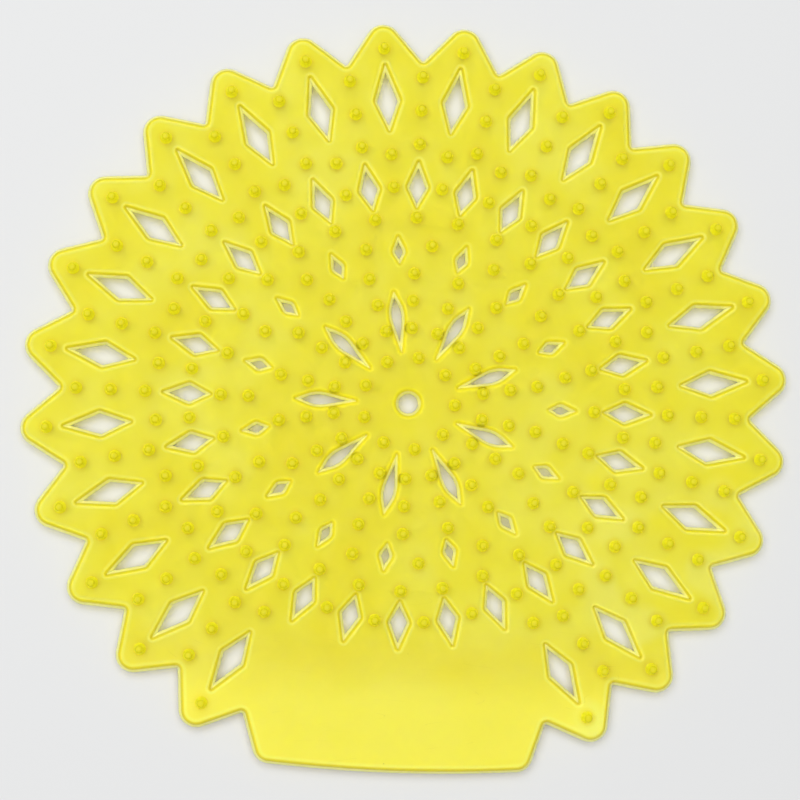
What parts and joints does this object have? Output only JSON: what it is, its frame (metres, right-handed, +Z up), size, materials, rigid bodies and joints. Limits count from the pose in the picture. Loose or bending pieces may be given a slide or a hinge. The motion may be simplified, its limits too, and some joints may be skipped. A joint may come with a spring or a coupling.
{
  "type": "urinal deodorizer screen",
  "caption": "Soft round drain screen with a petal rim, rings of kite-shaped holes, stub pegs on both faces and a plain grip tab.",
  "frame": {"origin": "on the surface it lies on, under the middle of the screen's bounding box", "axes": "+Z up through the upper pegs, -Y towards the grip tab, +X to the right seen from above"},
  "size_m": [0.18, 0.176, 0.008],
  "materials": {
    "lemon_eva": "frosted, half-clear, satin"
  },
  "bodies": {
    "root": {"deodorizer_screen": "lemon_eva"}
  },
  "joints": []
}
